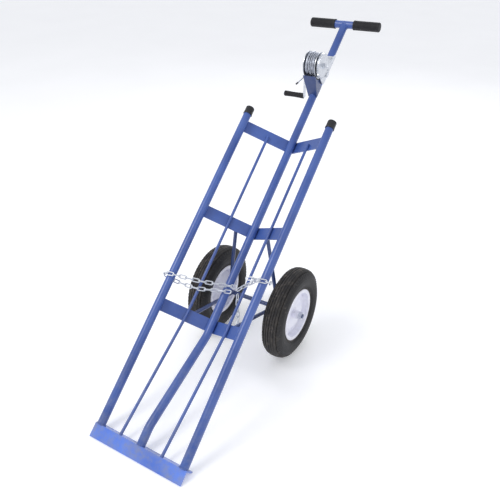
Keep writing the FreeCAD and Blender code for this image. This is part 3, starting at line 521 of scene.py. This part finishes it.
def addGrip(name, node, body, sizes, closedEnd):
    # closedEnd is 1 where the end towards +x is closed, -1 where the other is
    low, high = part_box(node)
    half = (high.x - low.x) / 2
    radius = sizes.get("radius", (high.z - low.z) / 2)
    edge = sizes["round"]
    profile = []
    count = int(2 * half / sizes["ring"]) * 6
    for i in range(count + 1):
        share = i / count
        along = -half + 2 * half * share
        fromOpen = half + along if closedEnd > 0 else half - along
        fromClosed = half - along if closedEnd > 0 else half + along
        out = radius - sizes["waist"] * math.sin(math.pi * share) ** 2
        if min(fromOpen, fromClosed) > 0.008:
            out -= sizes["deep"] * (0.5 - 0.5 * math.cos(2 * math.pi * (along + half) / sizes["ring"])) ** 2
        if fromOpen < 0.006:
            out = radius + sizes["collar"] * math.sin(math.pi * fromOpen / 0.006)
        if fromClosed < edge:
            out = radius - edge + math.sqrt(max(0, edge ** 2 - (edge - fromClosed) ** 2))
        profile.append((along, out))
    bore, floorHalf = sizes["bore"], 0.0004
    if closedEnd > 0:
        profile += [(half, floorHalf), (half - 0.004, floorHalf), (half - 0.004, bore), (-half, bore)]
    else:
        profile += [(half, bore), (0.004 - half, bore), (0.004 - half, floorHalf), (-half, floorHalf)]
    points, faces = turnAround(profile, 56, across, Vector((0, 0, 1)))
    addPiece(name, body, "black_rubber", points, faces, (low + high) / 2, stands=[node])


addGrip("left_grip_ribbed", "left_grip", "frame", handleGrip, -1)
addGrip("right_grip_ribbed", "right_grip", "frame", handleGrip, 1)
addGrip("crank_grip_ribbed", "crank_grip", "grip", crankGrip, -1)
print("grips ribbed")


# rail end caps: moulded cups with a rolled lip and a rounded top
capSizes = {"radius": 0.0189, "skirt": 0.032, "top": 0.005, "lip": 0.0012, "round": 0.007}


def addCap(side):
    node = side + "_rail_cap"
    top = max(bedPlace(v.co)[1] for v in nodes[node].data.vertices)
    radius, lip, edge = capSizes["radius"], capSizes["lip"], capSizes["round"]
    wall, skirt = bedSizes["tubeRadius"] + 0.0001, capSizes["skirt"] + capSizes["top"]
    profile = [(-skirt, wall), (-skirt, radius + lip * 0.6), (0.0012 - skirt, radius + lip),
               (0.0034 - skirt, radius + lip), (0.0046 - skirt, radius)]
    for i in range(13):
        angle = math.radians(7.5 * i)
        profile.append((edge * math.sin(angle) - edge, radius - edge + edge * math.cos(angle)))
    profile += [(0.0, 0.0072), (-0.0007, 0.0064), (-0.0007, 0.0004), (-capSizes["top"], 0.0004),
                (-capSizes["top"], wall)]
    points, faces = turnAround(profile, 64, alongBed, across)
    addPiece(side + "_rail_cap_moulded", "frame", "black_plastic", points, faces,
             onBed(middle(node).x, top, 0), stands=[node])


for side in ("left", "right"):
    addCap(side)
print("rail caps moulded")


# wire rope: laid turns under a looser top layer, all one stranded length on the drum
ropeSizes = {"radius": 0.0024, "strands": 6, "lay": 190.0, "first": 0.0185, "layer": 0.0046, "layers": 6,
             "looseTurns": (8, 6), "loose": 0.004, "drift": 0.006, "step": 0.0026}


def ropePath():
    low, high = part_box("winch_rope")
    half = (high.x - low.x) / 2 - ropeSizes["radius"] - 0.0006
    tight = ropeSizes["layers"] - 1
    path = []
    angle = 0.0
    for layer in range(tight + 2):
        radius = ropeSizes["first"] + ropeSizes["layer"] * layer
        loose = layer >= tight
        turns = ropeSizes["looseTurns"][layer - tight] if loose else int(2 * half / (2.05 * ropeSizes["radius"]))
        stops = int(turns * 2 * math.pi * radius / (ropeSizes["step"] * (1 if loose else 2.2)))
        for i in range(stops):
            share = i / stops if layer % 2 == 0 else 1 - i / stops
            x = -half + 2 * half * share
            out = radius
            if loose:
                wander = noise.noise(Vector((angle * 0.35, layer * 3.1, 0.5)))
                x += ropeSizes["drift"] * noise.noise(Vector((angle * 0.5, 7.3, layer)))
                out += ropeSizes["loose"] * (0.5 + wander) * (1.4 if layer > tight else 0.8)
            x = max(-half, min(half, x))
            path.append(Vector((x, out * math.cos(angle), out * math.sin(angle))))
            angle += 2 * math.pi / (stops / turns)
    return path


wound = ropePath()
points, faces = tubeAlong(wound, ropeSizes["radius"], 12, False, ropeSizes["strands"], ropeSizes["lay"])
addPiece("winch_rope_wound", "drum", "wire_rope", points, faces, Vector(joints["drum_spin"]["pos_m"]),
         stands=["winch_rope"])
print("rope wound,", round(sum((b - a).length for a, b in zip(wound, wound[1:])), 1), "m")


# weld beads, each a rippled tube along its seam
beadSizes = {"radius": 0.0026, "sideRadius": 0.0022, "pitch": 0.0034, "ripple": 0.16, "drift": 0.22}


def weld(path, loop, radius=None):
    size = radius or beadSizes["radius"]
    dense = []
    count = len(path)
    for i in range(count if loop else count - 1):
        a, b = path[i], path[(i + 1) % count]
        pieces = max(1, round((b - a).length / (beadSizes["pitch"] / 5)))
        dense += [a.lerp(b, j / pieces) for j in range(pieces)]
    if not loop:
        dense.append(path[-1])

    def swell(travelled):
        phase = travelled / beadSizes["pitch"] % 1
        drift = noise.noise(Vector((travelled * 60, size * 900, path[0].x * 9)))
        return 1 + beadSizes["ripple"] * (phase - 0.5) + beadSizes["drift"] * drift

    return tubeAlong(dense, size, 8, loop, swell=swell)


def circleAt(centre, axis, radius, steps=48):
    side = axis.orthogonal().normalized()
    other = axis.cross(side)
    return [centre + (side * math.cos(2 * math.pi * i / steps) + other * math.sin(2 * math.pi * i / steps)) * radius
            for i in range(steps)]


def bedBox(node):
    # extent of a node in bed directions
    places = [bedPlace(v.co) for v in nodes[node].data.vertices]
    return [(min(p[i] for p in places), max(p[i] for p in places)) for i in range(3)]


seams = []
tube = bedSizes["tubeRadius"]
railFoot = bedBox("left_rail")[1][0]
for sign in (-1, 1):  # rails to the toe
    foot = onBed(sign * bedSizes["railHalfSpacing"], railFoot + 0.0012, 0)
    seams.append(weld(circleAt(foot, alongBed, tube + 0.0006), True))

# a saddle where the handle bar meets the centre tube
handleU, handleW = bedPlace(middle("handle_bar"))[1:]
saddle = []
for i in range(60):
    angle = 2 * math.pi * i / 60
    x, w = tube * math.cos(angle), tube * math.sin(angle)
    saddle.append(onBed(x, handleU - math.sqrt((tube + 0.0006) ** 2 - w * w) - 0.0004, handleW + w))
seams.append(weld(saddle, True))

# both edges of each cross member, along the rails
for node in ("lower_cross_member", "middle_cross_member", "upper_cross_member"):
    (x0, x1), (u0, u1), (w0, w1) = bedBox(node)
    for sign in (-1, 1):
        tip = [bedPlace(v.co)[2] for v in nodes[node].data.vertices if sign * v.co.x > abs(x1) - 0.004]
        for w in (max(tip), min(tip)):
            reach = math.sqrt(tube ** 2 - w * w) if abs(w) < tube else 0.0
            x = sign * (bedSizes["railHalfSpacing"] - reach - 0.0004)
            seams.append(weld([onBed(x, u0 + 0.002, w), onBed(x, u1 - 0.002, w)], False, beadSizes["sideRadius"]))
points, faces = joinSkins(seams)
addPiece("frame_weld_beads", "frame", "blue_paint", points, faces)
print("weld beads laid:", len(seams))


# every carried-over node takes its slot's finish
# toe paint: real wear and dust, with the colour doubled as painted light on its upward face
toeFinish = bluePaint("wornToePaintPaintedLight", 0.8, 2.0)
chainFinish = zincPlate("chainZinc", 0.25, 1.6)
# struts, axle and winch stand: the same blue paint at half brightness, as painted shade
shadedStrutFinish = bluePaint("strutPaintPaintedShade", 0.0, 0.5)
ownFinish = {"toe_angle": toeFinish, "load_chain": chainFinish, "chain_tail": chainFinish, "axle": shadedStrutFinish,
             "winch_stand": shadedStrutFinish, "left_upper_strut": shadedStrutFinish, "left_lower_strut": shadedStrutFinish,
             "right_upper_strut": shadedStrutFinish, "right_lower_strut": shadedStrutFinish}
for part in frame["record"]["subparts"]:
    name = part["node"]
    finish = ownFinish.get(name, finishes[part["material_slot"]])
    slots = nodes[name].data.materials
    for index in range(len(slots)):
        slots[index] = finish
    if not slots:
        slots.append(finish)
print("finishes laid on the carried-over nodes")


# floor
floorSizes = {"half": 70.0, "colour": (0.93, 0.93, 0.935, 1), "pale": (0.955, 0.955, 0.96, 1), "rough": 0.75,
              "glow": 0.24}


def addFloor():
    made = Finish("floorPaint")
    patches = made.step(made.cloud(made.place(), 1.5, 3), 0.2, 0.8)
    colour = made.mix(patches, floorSizes["colour"], floorSizes["pale"])
    half = floorSizes["half"]
    mesh = bpy.data.meshes.new("floor")
    mesh.from_pydata([(-half, -half, 0), (half, -half, 0), (half, half, 0), (-half, half, 0)], [], [(0, 1, 2, 3)])
    mesh.materials.append(made.close(Base_Color=colour, Roughness=floorSizes["rough"], Emission_Color=colour,
                                     Emission_Strength=floorSizes["glow"]))
    floor = bpy.data.objects.new("floor", mesh)
    floor.location = (0, 0, -0.0005)
    bpy.context.scene.collection.objects.link(floor)


addFloor()
bpy.context.scene.view_settings.view_transform = "Standard"
print("floor laid")
